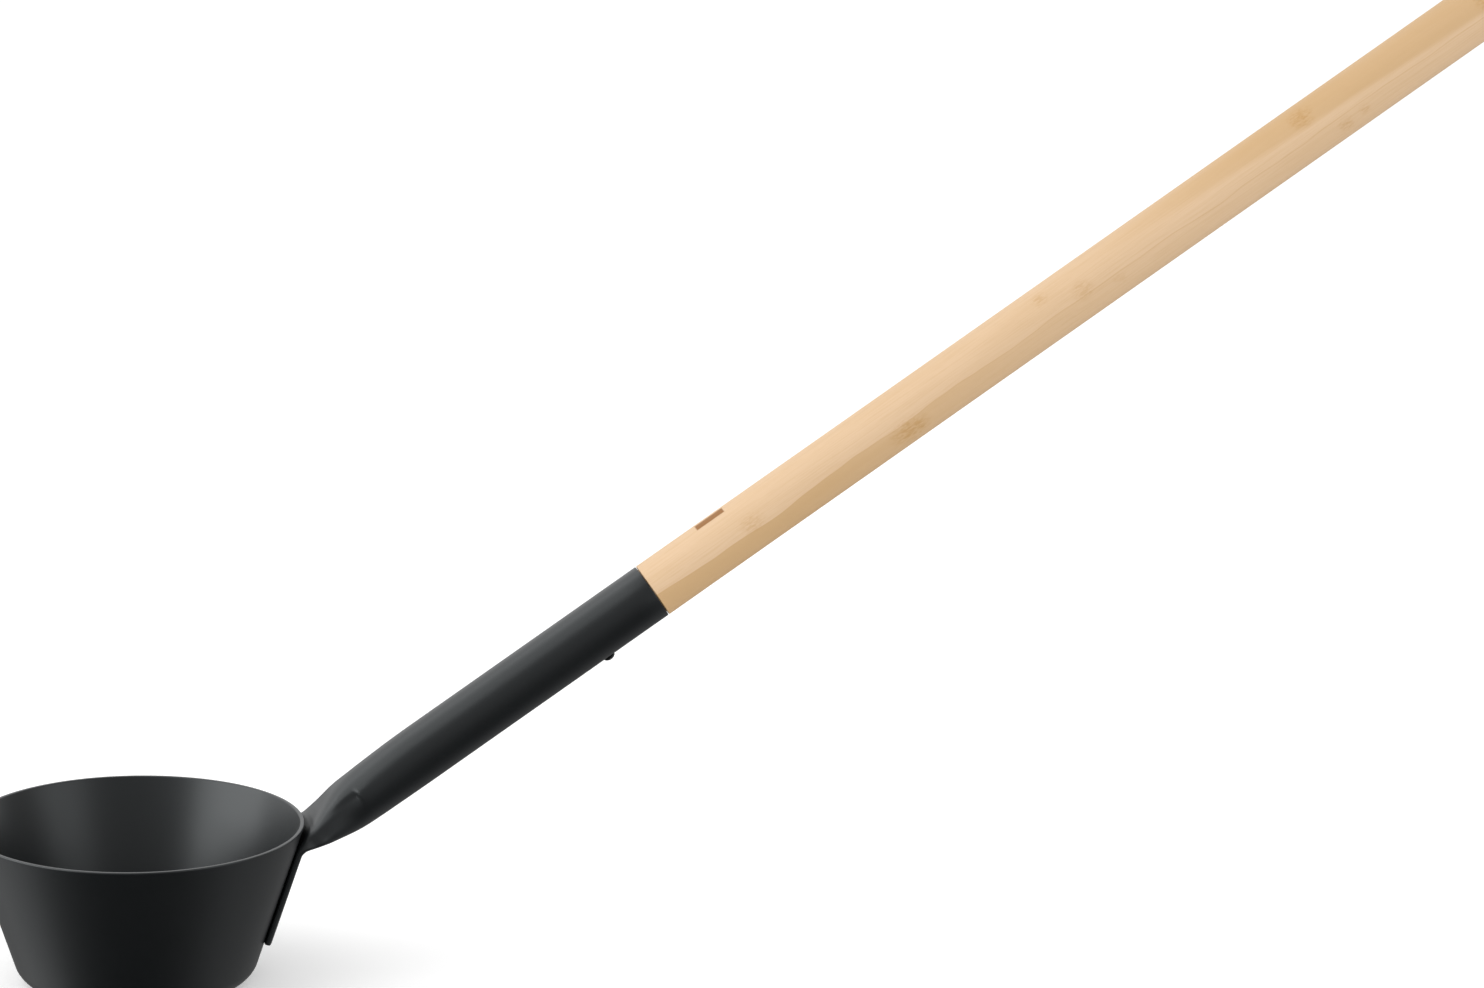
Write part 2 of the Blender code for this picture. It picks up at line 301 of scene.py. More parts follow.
def build_coat_group():
    group = bpy.data.node_groups.new("coat_surface", "ShaderNodeTree")
    group.interface.new_socket("Vector", in_out="INPUT", socket_type="NodeSocketVector")
    for name in ("Peel Width", "Peel Height", "Grain Height", "Roughness", "Roughness Spread"):
        group.interface.new_socket(name, in_out="INPUT", socket_type="NodeSocketFloat")
    group.interface.new_socket("Roughness", in_out="OUTPUT", socket_type="NodeSocketFloat")
    group.interface.new_socket("Normal", in_out="OUTPUT", socket_type="NodeSocketVector")
    entry = group.nodes.new("NodeGroupInput")
    leave = group.nodes.new("NodeGroupOutput")
    given = entry.outputs

    peel_scale = maths(group, "DIVIDE", 1.0, given["Peel Width"])
    grain_scale = maths(group, "MULTIPLY", peel_scale, GRAIN_PER_PEEL)
    patch_scale = maths(group, "MULTIPLY", peel_scale, PATCHES_PER_PEEL)
    peel = noise(group, given["Vector"], peel_scale, detail=1.0)
    grain = noise(group, given["Vector"], grain_scale, detail=2.0)
    patches = noise(group, given["Vector"], patch_scale, detail=3.0)

    peel_rise = maths(group, "MULTIPLY", peel, given["Peel Height"])
    rise = maths(group, "MULTIPLY_ADD", grain, given["Grain Height"], peel_rise)
    normal = add_node(group, "ShaderNodeBump", {"Strength": 1.0, "Distance": 1.0, "Height": rise})

    centred = maths(group, "SUBTRACT", patches, 0.5)
    rough = maths(group, "MULTIPLY_ADD", centred, given["Roughness Spread"], given["Roughness"])
    group.links.new(rough, leave.inputs["Roughness"])
    group.links.new(normal, leave.inputs["Normal"])
    return group


coat_group = build_coat_group()
print("coat group has", len(coat_group.nodes), "nodes")

# %% [markdown]
# A black coat has next to no colour of its own. What shows on it is the room, so its gloss is set as
# carefully as its black: strong and even on the powder, weaker and finer on the screw, and a trace cool.

# %% Make the coated materials
COAT_BLACK = (0.0040, 0.0052, 0.0062, 1)
SCREW_BLACK = (0.0060, 0.0060, 0.0065, 1)
SPECULAR_TINT = (0.94, 0.985, 1.0, 1)
POWDER_GLOSS = 1.0
SCREW_GLOSS = 0.6


def coated_material(name, colour, gloss, sizes):
    material, tree, shader = new_material(name)
    place = add_node(tree, "ShaderNodeTexCoord", output="Object")
    surface = tree.nodes.new("ShaderNodeGroup")
    surface.node_tree = coat_group
    tree.links.new(place, surface.inputs["Vector"])
    for socket, value in sizes.items():
        surface.inputs[socket].default_value = value
    shader.inputs["Base Color"].default_value = colour
    shader.inputs["Specular IOR Level"].default_value = gloss
    shader.inputs["Specular Tint"].default_value = SPECULAR_TINT
    tree.links.new(surface.outputs["Roughness"], shader.inputs["Roughness"])
    tree.links.new(surface.outputs["Normal"], shader.inputs["Normal"])
    print(name, "has a peel", round(sizes["Peel Width"] * 1000, 2), "mm wide")
    return material


powder_coat = coated_material(
    "satin_black_powder",
    COAT_BLACK,
    POWDER_GLOSS,
    {
        "Peel Width": 0.0011,
        "Peel Height": 0.000006,
        "Grain Height": 0.0000012,
        "Roughness": 0.36,
        "Roughness Spread": 0.08,
    },
)
screw_black = coated_material(
    "blackened_screw",
    SCREW_BLACK,
    SCREW_GLOSS,
    {
        "Peel Width": 0.0004,
        "Peel Height": 0.000002,
        "Grain Height": 0.0000008,
        "Roughness": 0.30,
        "Roughness Spread": 0.10,
    },
)

# %% [markdown]
# ## The bowl
#
# A sheet is pressed into a cone with a rounded bottom corner, and its rim is trimmed and smoothed. It
# could be two cones with thickness between them, but one outline that runs up the inside, over the rim
# and down the outside gives an even wall and a true rim in one spin. The rim matters most: it is the
# thin bright line that the eye follows round the bowl.

# %% Spin the bowl
BOWL_STEPS = 240
CORNER_SEGMENTS = 20
RIM_SEGMENTS = 6

wall_across = BOWL_WALL / math.cos(WALL_LEAN)
lean = math.tan(WALL_LEAN)
inner_corner = RIM_RADIUS - wall_across - (BOWL_HEIGHT - BOWL_WALL) * lean
outer_corner = RIM_RADIUS - BOWL_HEIGHT * lean

bowl_shape = bmesh.new()
draw_outline(
    bowl_shape,
    [
        (0, BOWL_WALL, 0, 0),
        (inner_corner, BOWL_WALL, BASE_CORNER - BOWL_WALL, CORNER_SEGMENTS),
        (RIM_RADIUS - wall_across, BOWL_HEIGHT, RIM_ROUNDING, RIM_SEGMENTS),
        (RIM_RADIUS, BOWL_HEIGHT, RIM_ROUNDING, RIM_SEGMENTS),
        (outer_corner, 0, BASE_CORNER, CORNER_SEGMENTS),
        (0, 0, 0, 0),
    ],
)
spin_outline(bowl_shape, BOWL_STEPS)
make_piece(bowl_shape, "pressed_bowl", powder_coat, "bowl")

# %% [markdown]
# ## The tube
#
# The workshop starts with a straight tube. A press closes its lower end to two flat layers, and the
# round part opens out above them between two creased shoulders. The flat end is then bent down and
# welded to the bowl's wall. The same order works here: bridge a pipe from rings, press every point of it
# with one function, and bend it along a line. The function keeps the girth of each ring, as steel does,
# so the flat part gets wider by itself as it closes. Rings lie close where the press works the steel and
# far apart where the tube stays straight.

# %% Where the press works, as distances up the tube from the middle of the bend
FLAT_END = 0.0038
HUG_END = 0.0050
CREST_HUG_END = 0.0200
LIP_RINGS = (0.0240, 0.0290)
PRESS_END = 0.0260
SPREAD_END = 0.0520

tab_end = -(tab_length - bend_setback + bend_arc / 2)
open_end = TUBE_RUN - bend_setback + bend_arc / 2

# Ring spacing along each stretch: from, to, and the distance between rings.
STRETCHES = [
    (tab_end, -bend_arc / 2, 0.0010),
    (-bend_arc / 2, HUG_END, 0.0003),
    (HUG_END, LIP_RINGS[0], 0.0004),
    (LIP_RINGS[0], LIP_RINGS[1], 0.00025),
    (LIP_RINGS[1], SPREAD_END, 0.0008),
    (SPREAD_END, open_end, 0.0080),
]
print("the flat tube is", round((open_end - tab_end) * 1000, 1), "mm long before it is bent")

# %% Helpers: build a pipe ring by ring
GIRTH_STEPS = 200


def extend_pipe(shape, edges, rise):
    """Extrude a ring of edges along Z and return the new ring."""
    grown = bmesh.ops.extrude_edge_only(shape, edges=edges)["geom"]
    verts = [part for part in grown if isinstance(part, bmesh.types.BMVert)]
    fresh = set(verts)
    bmesh.ops.translate(shape, vec=(0, 0, rise), verts=verts)
    edges = [part for part in grown if isinstance(part, bmesh.types.BMEdge)]
    return [edge for edge in edges if fresh.issuperset(edge.verts)]


def straight_pipe(shape, radius):
    """An open pipe wall from the tab's end to the open end. Returns its first and its last ring."""
    foot = Matrix.Translation((0, 0, tab_end))
    ring = bmesh.ops.create_circle(shape, segments=GIRTH_STEPS, radius=radius, matrix=foot)["verts"]
    first = [edge for edge in shape.edges if set(ring).issuperset(edge.verts)]
    last = first
    for start, end, spacing in STRETCHES:
        rings = max(1, round((end - start) / spacing))
        for _ in range(rings):
            last = extend_pipe(shape, last, (end - start) / rings)
    return first, last


# %% Build the straight pipe
END_ROUNDING = 0.00028
END_SEGMENTS = 3

tube_shape = bmesh.new()
outer_first, outer_last = straight_pipe(tube_shape, TUBE_RADIUS)
inner_first, inner_last = straight_pipe(tube_shape, TUBE_RADIUS - TUBE_WALL)
bmesh.ops.bridge_loops(tube_shape, edges=outer_first + inner_first)
bmesh.ops.bridge_loops(tube_shape, edges=outer_last + inner_last)
bmesh.ops.bevel(
    tube_shape,
    geom=outer_first + outer_last,
    offset=END_ROUNDING,
    offset_type="OFFSET",
    segments=END_SEGMENTS,
    profile=0.5,
    affect="EDGES",
    material=-1,
)
print("straight pipe:", len(tube_shape.verts), "points")

# %% [markdown]
# The press moves each point by its place on the straight pipe: how far up it is, how far round the
# girth, and how deep in the wall. The section goes from a circle to two flats joined by folds. Between
# them the top is an arch and the underside is flatter. Each half of the section is a flat that ends in a
# squared rounding, and its width follows from the girth, which stays the same. A few stations along the
# neck hold the sizes, and a smooth curve joins them. Near the bowl the top rises in a short steep face to
# a crest that follows the round wall. A crease runs down each side where the edge of the press bit, and
# stops at a small lip.

# %% Sizes of the pressed neck
SPREAD_SHARE = 0.145
ROUND_REACH = 0.0130

# Stations: up the tube, height and reach of the top's rounding, the same two below, narrowing of the top,
# and how square the roundings are, where 2 is a plain ellipse.
NECK_STATIONS = [
    (-0.0020, 0.00119, 0.0012, 0.00119, 0.0012, 0.00, 2.0),
    (0.0000, 0.00145, 0.0016, 0.00120, 0.0013, 0.01, 2.0),
    (0.0020, 0.00240, 0.0040, 0.00138, 0.0026, 0.05, 2.5),
    (0.0040, 0.00362, 0.0090, 0.00198, 0.0046, 0.09, 3.6),
    (0.0045, 0.00386, 0.0095, 0.00215, 0.0052, 0.10, 3.9),
    (0.0050, 0.00398, 0.0100, 0.00235, 0.0058, 0.10, 4.1),
    (0.0058, 0.00408, 0.0110, 0.00262, 0.0066, 0.10, 4.2),
    (0.0075, 0.00437, 0.0130, 0.00340, 0.0090, 0.09, 4.0),
    (0.0115, 0.00588, 0.0130, 0.00540, 0.0130, 0.05, 3.2),
    (0.0195, 0.00840, 0.0130, 0.00820, 0.0130, 0.00, 2.5),
    (0.0275, 0.00935, 0.0130, 0.00935, 0.0130, 0.00, 2.0),
    (0.0340, 0.00960, 0.0130, 0.00960, 0.0130, 0.00, 2.0),
]

half_girth = math.pi * TUBE_RADIUS
print("half the tube's girth is", round(half_girth * 1000, 2), "mm")

# %% Helpers: how a size grows along the tube
def ease_out(value, start, end):
    share = min(max((value - start) / (end - start), 0), 1)
    return 1 - (1 - share) ** 2


def smooth(value, start, end):
    share = min(max((value - start) / (end - start), 0), 1)
    return share * share * (3 - 2 * share)


def half_height(up):
    """Half the pressed tube's height, from the two closed layers of the tab to the full round."""
    if up < 0:
        return TUBE_WALL + FLAT_SPRING * max(0, 1 + up / tab_length)
    opened = (1 - SPREAD_SHARE) * ease_out(up, FLAT_END, PRESS_END)
    spread = SPREAD_SHARE * smooth(up, FLAT_END, SPREAD_END)
    return bend_half_height + (TUBE_RADIUS - bend_half_height) * (opened + spread)


# %% Helper: the section at any place
def neck_section(up):
    """The section's sizes at a distance up the tube, in the stations' order."""
    half = half_height(up)
    if up <= NECK_STATIONS[0][0]:
        return half, half, half, half, 0, 2
    if up >= NECK_STATIONS[-1][0]:
        return half, ROUND_REACH, half, ROUND_REACH, 0, 2
    k = max(i for i, station in enumerate(NECK_STATIONS) if station[0] <= up)
    before = NECK_STATIONS[max(k - 1, 0)]
    here = NECK_STATIONS[k]
    ahead = NECK_STATIONS[k + 1]
    after = NECK_STATIONS[min(k + 2, len(NECK_STATIONS) - 1)]
    length = ahead[0] - here[0]
    t = (up - here[0]) / length
    values = []
    for i in range(1, len(here)):
        leave = (ahead[i] - before[i]) / (ahead[0] - before[0]) * length
        arrive = (after[i] - here[i]) / (after[0] - here[0]) * length
        rise = 3 * (ahead[i] - here[i]) - 2 * leave - arrive
        turn = leave + arrive - 2 * (ahead[i] - here[i])
        values.append(here[i] + t * (leave + t * (rise + t * turn)))
    return values


# %% Helpers: the bent line and the round wall under it
def spine(up):
    """The middle of the section and the direction off its top face, along the bent line."""
    if up >= bend_arc / 2:
        lift = AXIS_ABOVE_TAB * smooth(up, FLAT_END, SPREAD_END)
        return bend_corner + up_handle * (up - bend_arc / 2 + bend_setback) + off_handle * lift, off_handle
    if up <= -bend_arc / 2:
        slack = bend_half_height - half_height(up)
        down = -up - bend_arc / 2 + bend_setback
        return bend_corner + down_wall * down - off_wall * slack, -off_wall
    turned = HANDLE_RISE + (bend_arc / 2 - up) / BEND_RADIUS
    centre = bend_corner + up_handle * bend_setback - off_handle * BEND_RADIUS
    off = Vector((-math.sin(turned), 0, math.cos(turned)))
    return centre + off * BEND_RADIUS, off


def wall_sag(across, height):
    """How far the round wall of the bowl falls back from its front line, at a distance across."""
    radius = RIM_RADIUS - (BOWL_HEIGHT - height) * math.tan(WALL_LEAN)
    narrowing = math.cos(2 * WALL_LEAN)
    root = math.sqrt(max(radius**2 - narrowing * across**2, 0))
    return math.cos(WALL_LEAN) * (radius - root) / narrowing


# %% Helper: the prints of the welding tips
WELD_SPOTS = (-0.0115, -0.0245)
WELD_RADIUS = 0.0026
WELD_FLAT_SHARE = 0.7
WELD_DEPTH = 0.00014


def weld_dent(across, up):
    """The shallow round print of the welding tips on the tab's outer face."""
    dent = 0
    for spot in WELD_SPOTS:
        away = math.hypot(across, up - spot)
        dent += WELD_DEPTH * (1 - smooth(away, WELD_FLAT_SHARE * WELD_RADIUS, WELD_RADIUS))
    return dent


# %% Helper: the crease and its lip
CREASE_AROUND = 0.0112
CREASE_WIDTH_ABOVE = 0.0015
CREASE_WIDTH_BELOW = 0.0024
CREASE_DEPTH = 0.00060
CREASE_FADE = (0.0080, 0.0240)
CREASE_END = (0.0247, 0.0267)
LIP_END = 0.0340
LIP_WIDTH = 0.0024
LIP_HEIGHT = 0.00032


def crease(up, along):
    """How far the crease and the lip at its upper end move the surface out."""
    ended = smooth(up, *CREASE_END)
    width = CREASE_WIDTH_ABOVE if along < CREASE_AROUND else CREASE_WIDTH_BELOW
    groove = smooth(up, *CREASE_FADE) * (1 - ended) * math.exp(-(((along - CREASE_AROUND) / width) ** 2))
    past_end = ended * (1 - smooth(up, CREASE_END[1], LIP_END))
    lip = past_end * math.exp(-(((along - CREASE_AROUND) / LIP_WIDTH) ** 2))
    return LIP_HEIGHT * lip - CREASE_DEPTH * groove


# %% [markdown]
# A point a third of the way round the pipe has to end a third of the way round the pressed section, or
# the steel would stretch. So each section is drawn as a line of short steps, its width is corrected until
# the line is as long as half the girth, and the points are then placed by the distance walked along it.

# %% Helpers: walk round a section
ARC_STEPS = 60
WIDTH_TRIES = 8
WIDEST_REACH = 0.999

walks = {}


def half_section(width, top, top_reach, bottom, bottom_reach, squareness):
    """Points from the middle of the top round to the middle of the underside, across and up."""
    points = [(0, top)]
    quarters = [
        (top, top_reach, range(ARC_STEPS)),
        (-bottom, bottom_reach, range(ARC_STEPS, -1, -1)),
    ]
    for height, reach, turns in quarters:
        reach = min(reach, WIDEST_REACH * width)
        for k in turns:
            angle = k * math.pi / 2 / ARC_STEPS
            across = max(math.sin(angle), 0) ** (2 / squareness)
            rise = max(math.cos(angle), 0) ** (2 / squareness)
            points.append((width - reach + reach * across, height * rise))
    return points + [(0, -bottom)]


def section_walk(up):
    """Distances, points and outward directions round half of the section whose length is half the girth."""
    if up not in walks:
        top, top_reach, bottom, bottom_reach, _, squareness = neck_section(up)
        width = TUBE_RADIUS
        for _ in range(WIDTH_TRIES):
            points = half_section(width, top, top_reach, bottom, bottom_reach, squareness)
            steps = [math.dist(p, q) for p, q in zip(points, points[1:])]
            width += (half_girth - sum(steps)) / 2
        distances = [0.0]
        for step in steps:
            distances.append(distances[-1] + step)
        normals = []
        for k in range(len(points)):
            before, after = points[max(k - 1, 0)], points[min(k + 1, len(points) - 1)]
            normals.append(Vector((before[1] - after[1], after[0] - before[0])).normalized())
        walks[up] = distances, points, normals
    return walks[up]


# %% Press and bend the pipe
LAYER_SEAM = 0.00022
TOP_HUG_SHARE = 0.4
UNDERSIDE_HUG_SHARE = 0.75


def pressed(point):
    """Where a point of the straight pipe goes when the tube has been pressed and bent."""
    up = round(point.z, 6)
    side = 1 if point.y > 0 else -1
    share = abs(math.atan2(point.y, point.x)) / math.pi
    along = share * half_girth
    distances, points, normals = section_walk(up)
    top, _, bottom, _, narrowing, _ = neck_section(up)
    layer = min(1, ((top + bottom) / 2 - LAYER_SEAM / 2) / TUBE_WALL)
    out = crease(up, along) - (TUBE_RADIUS - math.hypot(point.x, point.y)) * layer

    # Find the place on the section, and step off it along the outward direction.
    k = min(max(bisect.bisect_right(distances, share * distances[-1]) - 1, 0), len(points) - 2)
    t = (share * distances[-1] - distances[k]) / (distances[k + 1] - distances[k])
    place = Vector(points[k]).lerp(Vector(points[k + 1]), t)
    across, rise = place + normals[k].lerp(normals[k + 1], t) * out
    across *= 1 - narrowing * rise / top
    if up < 0 and rise < 0:
        rise += weld_dent(across, up)

    # Lean the section back against the round wall, the top edge further up the neck than the underside.
    centre, off = spine(up)
    below = smooth(share, TOP_HUG_SHARE, UNDERSIDE_HUG_SHARE)
    hug_top = 1 - smooth(up, FLAT_END, CREST_HUG_END)
    hug_bottom = 1 - smooth(up, -bend_arc / 2, HUG_END)
    hug = hug_top * (1 - below) + hug_bottom * below
    lean_back = off_wall * (hug * wall_sag(across, centre.z))
    return centre + off * rise - lean_back + Vector((0, side * across, 0))


for vert in tube_shape.verts:
    vert.co = pressed(vert.co)
make_piece(tube_shape, "pressed_tube", powder_coat, "ferrule")

# %% [markdown]
# ## Bamboo
#
# The handle is turned from a block of glued bamboo strips. What tells bamboo from other wood is its
# straight fibres, which show as fine short dashes, its strips of slightly different tan with a thin wavy
# glue line between them, and the nodes: short cross bands where each cane had a joint, a little darker
# and with fibres that wander. A picture of wood would stretch and repeat. Instead every mark is worked
# out in a solid block in the handle's own millimetres, so the strips and fibres run right through and
# come out on the end as well.

# %% Bamboo colours and places
BAMBOO_LIGHT = (0.760, 0.538, 0.338, 1)
BAMBOO_DARK = (0.64, 0.414, 0.205, 1)
BAMBOO_NODE = (0.56, 0.315, 0.110, 1)
BURNT = (0.300, 0.122, 0.022, 1)

# The lower glue line's height over the axis, and the upper strip's edge at two places, in millimetres.
LOWER_SEAM = 0.5
SEAM_WAVER = 1.1
UPPER_EDGE = (155, 8.4)
UPPER_EDGE_FAR = (320, 2.2)

# Node marks: distance from the tube in millimetres, degrees round from the near side, half length, half
# width, and strength.
NODE_MARKS = [
    (41, 14, 5.0, 4.0, 0.35),
    (104, -18, 8.5, 4.6, 0.80),
    (166, 52, 3.0, 3.2, 0.40),
    (180, 16, 4.5, 4.0, 0.35),
    (193, -8, 3.0, 2.0, 0.20),
    (276, 50, 5.0, 4.6, 0.75),
    (288, -18, 3.5, 3.0, 0.45),
    (296, -14, 2.6, 2.2, 0.40),
    (352, 30, 5.0, 4.0, 0.50),
    (28, 150, 5.0, 4.5, 0.55),
    (92, 205, 5.0, 4.5, 0.40),
    (148, 165, 6.0, 4.0, 0.70),
    (214, 215, 4.5, 4.5, 0.55),
    (243, 150, 4.5, 4.0, 0.45),
    (322, 190, 6.0, 4.5, 0.65),
    (66, 260, 5.0, 4.0, 0.50),
    (232, 275, 5.0, 4.0, 0.60),
]
print("the bamboo has", len(NODE_MARKS), "node marks")

# %% [markdown]
# The block starts at the tube's end and lies along the handle. A Mapping node of the texture kind turns
# the object's coordinates into the block's, in millimetres: across, up from the axis, and along. All the
# patterns below read that one place, each squeezed by its own amount along the fibres.

# %% The block's own millimetres
MILLIMETRE = 0.001

bamboo, tree, shader = new_material("laminated_bamboo")
tube_end = axis_foot + up_handle * TUBE_RUN
place = add_node(
    tree,
    "ShaderNodeMapping",
    {
        "Vector": add_node(tree, "ShaderNodeTexCoord", output="Object"),
        "Location": tube_end,
        "Rotation": (0, math.pi / 2 - HANDLE_RISE, 0),
        "Scale": (MILLIMETRE, MILLIMETRE, MILLIMETRE),
    },
    vector_type="TEXTURE",
)
block = tree.nodes.new("ShaderNodeSeparateXYZ")
tree.links.new(place, block.inputs[0])
across, along = block.outputs["Y"], block.outputs["Z"]
height = maths(tree, "MULTIPLY", block.outputs["X"], -1.0)


def grain_noise(scale_across, scale_along, **settings):
    """Noise in the block's millimetres, squeezed along the fibres so that it runs with them."""
    scale = (scale_across, scale_across, scale_along)
    squeezed = add_node(tree, "ShaderNodeVectorMath", {0: place, 1: scale}, operation="MULTIPLY")
    return noise(tree, squeezed, 1.0, **settings)


print("the block starts at", [round(c, 4) for c in tube_end])

# %% [markdown]
# Two darker strips show on the near side. The lower one meets its neighbour at a glue line that wavers.
# The upper one starts at the handle's top about half way along, and comes down its side towards the free
# end. Each is a share of the darker tan that changes slowly along the handle, so that no strip looks
# painted on.

# %% Strips and the glue line
# Fades: from, to, and, where there are four values, the share at each.
SEAM_EDGE = 0.12
GLUE_ABOVE = 0.22
GLUE_BELOW = 0.40
UPPER_EDGE_FADE = (-0.8, 1.6)
LOWER_DARK = (20, 235, 0.95, 0.10)
UPPER_DARK = (165, 270, 0.0, 0.75)
DRIFT_DARK = (0.35, 0.75, 0.0, 0.22)

waver = grain_noise(0.03, 0.028, detail=2.0)
seam_height = maths(tree, "MULTIPLY_ADD", maths(tree, "SUBTRACT", waver, 0.5), 4 * SEAM_WAVER, LOWER_SEAM)
below_seam = maths(tree, "SUBTRACT", seam_height, height)
lower_strip = fade(tree, below_seam, -SEAM_EDGE, SEAM_EDGE)
glue_top = fade(tree, below_seam, -GLUE_ABOVE, 0.0)
glue_line = maths(tree, "MULTIPLY", glue_top, fade(tree, below_seam, GLUE_BELOW, 0.0))

edge_slope = (UPPER_EDGE_FAR[1] - UPPER_EDGE[1]) / (UPPER_EDGE_FAR[0] - UPPER_EDGE[0])
edge_start = UPPER_EDGE[1] - edge_slope * UPPER_EDGE[0]
upper_edge = maths(tree, "MULTIPLY_ADD", along, edge_slope, edge_start)
upper_strip = fade(tree, maths(tree, "SUBTRACT", height, upper_edge), *UPPER_EDGE_FADE)

lower_share = maths(tree, "MULTIPLY", lower_strip, fade(tree, along, *LOWER_DARK))
upper_share = maths(tree, "MULTIPLY", upper_strip, fade(tree, along, *UPPER_DARK))
drift_share = fade(tree, grain_noise(0.10, 0.012, detail=3.0), *DRIFT_DARK)
dark_share = maths(tree, "MAXIMUM", lower_share, upper_share)
dark_share = maths(tree, "ADD", dark_share, drift_share, clamp=True)
colour = mix_colours(tree, dark_share, BAMBOO_LIGHT, BAMBOO_DARK)
print("the upper strip's edge falls", round(-edge_slope * 100, 1), "mm over 100 mm")

# %% [markdown]
# The fibres are two noises that are drawn out along the handle: long fine streaks, and the darker dashes
# of the bundles in them. The darker of the two shows at each point.

# %% Fibres
STREAK_DARK = (0.42, 0.72, 0.0, 0.34)
BUNDLE_DARK = (0.56, 0.74, 0.0, 0.30)

streaks = grain_noise(2.6, 0.045, detail=4.0, roughness=0.6)
bundles = grain_noise(1.5, 0.055, detail=1.0)
fibre_share = maths(tree, "MAXIMUM", fade(tree, streaks, *STREAK_DARK), fade(tree, bundles, *BUNDLE_DARK))
colour = mix_colours(tree, fibre_share, colour, BAMBOO_DARK)
print("bamboo has", len(tree.nodes), "nodes so far")

# %% [markdown]
# At a node the fibres tangle, and the cut shows it as a soft darker patch with a ragged edge. Each mark
# is a stretched ball on one side of the block. A slow noise pushes its edge about, by half its reach on
# average, so the ball's middle is moved by that half, and a finer noise breaks the patch into fibres.

# %% Node marks
WANDER_REACH = (4.0, 4.0, 6.0)
MARK_EDGE = (1.20, 0.30)
TANGLE_BREAKS = (0.40, 0.60, 0.15, 1.0)
GLUE_SHARE = 0.28

radius_mm = TUBE_RADIUS / MILLIMETRE
wander = grain_noise(0.8, 0.5, detail=3.0, roughness=0.65)
patch_place = add_node(
    tree, "ShaderNodeVectorMath", {0: wander, 1: WANDER_REACH, 2: place}, operation="MULTIPLY_ADD"
)
marks = None
for far, degrees, half_length, half_width, strength in NODE_MARKS:
    round_to = math.radians(degrees)
    middle = Vector((-radius_mm * math.sin(round_to), -radius_mm * math.cos(round_to), far))
    middle += Vector(WANDER_REACH) / 2
    away = add_node(tree, "ShaderNodeVectorMath", {0: patch_place, 1: middle}, operation="SUBTRACT")
    shrink = (1 / half_width, 1 / half_width, 1 / half_length)
    away = add_node(tree, "ShaderNodeVectorMath", {0: away, 1: shrink}, operation="MULTIPLY")
    away = add_node(tree, "ShaderNodeVectorMath", {0: away}, output="Value", operation="LENGTH")
    mark = fade(tree, away, *MARK_EDGE, 0.0, strength)
    marks = mark if marks is None else maths(tree, "MAXIMUM", marks, mark)
tangle = grain_noise(1.5, 0.40, detail=3.0, roughness=0.7)
mark_share = maths(tree, "MULTIPLY", marks, fade(tree, tangle, *TANGLE_BREAKS))
colour = mix_colours(tree, mark_share, colour, BAMBOO_NODE)
colour = mix_colours(tree, maths(tree, "MULTIPLY", glue_line, GLUE_SHARE), colour, BAMBOO_NODE)
print("bamboo has", len(tree.nodes), "nodes with its marks")

# %% [markdown]
# A small plain bar is burnt into the top near the tube. It is measured in millimetres along the handle
# and round it, and its edges are a little uneven, as a hot iron leaves them.

# %% The burnt bar
BAR_ALONG = 30.1
BAR_ROUND = math.radians(82)
BAR_HALF_LENGTH = 5.6
BAR_HALF_WIDTH = 1.75
BAR_EDGE = 0.25
BAR_RAGGED = 0.5
BAR_SHARE = 0.93

round_angle = maths(tree, "ARCTAN2", height, maths(tree, "MULTIPLY", across, -1.0))
round_arc = maths(tree, "MULTIPLY", maths(tree, "SUBTRACT", round_angle, BAR_ROUND), radius_mm)
from_middle = maths(tree, "ABSOLUTE", maths(tree, "SUBTRACT", along, BAR_ALONG))
end_gap = maths(tree, "SUBTRACT", from_middle, BAR_HALF_LENGTH)
side_gap = maths(tree, "SUBTRACT", maths(tree, "ABSOLUTE", round_arc), BAR_HALF_WIDTH)
ragged = maths(tree, "MULTIPLY", maths(tree, "SUBTRACT", tangle, 0.5), BAR_RAGGED)
bar_gap = maths(tree, "ADD", maths(tree, "MAXIMUM", end_gap, side_gap), ragged)
bar = fade(tree, bar_gap, BAR_EDGE, -BAR_EDGE)
colour = mix_colours(tree, maths(tree, "MULTIPLY", bar, BAR_SHARE), colour, BURNT)
tree.links.new(colour, shader.inputs["Base Color"])
print("the burnt bar is", 2 * BAR_HALF_LENGTH, "mm long and", 2 * BAR_HALF_WIDTH, "mm wide")

# %% [markdown]
# The surface is sanded, so the fibres are felt more than seen. The glue line is a hair lower than the
# wood, and the bar is burnt in.

# %% The bamboo's surface
STREAK_HEIGHT = 0.000016
TANGLE_HEIGHT = 0.000006
GLUE_DEPTH = 0.000015
BURN_DEPTH = 0.00012
BAMBOO_ROUGHNESS = (0.3, 0.8, 0.46, 0.60)
BAMBOO_GLOSS = 0.4

rise = maths(tree, "MULTIPLY", streaks, STREAK_HEIGHT)
rise = maths(tree, "MULTIPLY_ADD", tangle, TANGLE_HEIGHT, rise)
rise = maths(tree, "MULTIPLY_ADD", glue_line, -GLUE_DEPTH, rise)
rise = maths(tree, "MULTIPLY_ADD", bar, -BURN_DEPTH, rise)
normal = add_node(tree, "ShaderNodeBump", {"Strength": 1.0, "Distance": 1.0, "Height": rise})
tree.links.new(normal, shader.inputs["Normal"])
tree.links.new(fade(tree, streaks, *BAMBOO_ROUGHNESS), shader.inputs["Roughness"])
shader.inputs["Specular IOR Level"].default_value = BAMBOO_GLOSS
print("bamboo has", len(tree.nodes), "nodes in all")

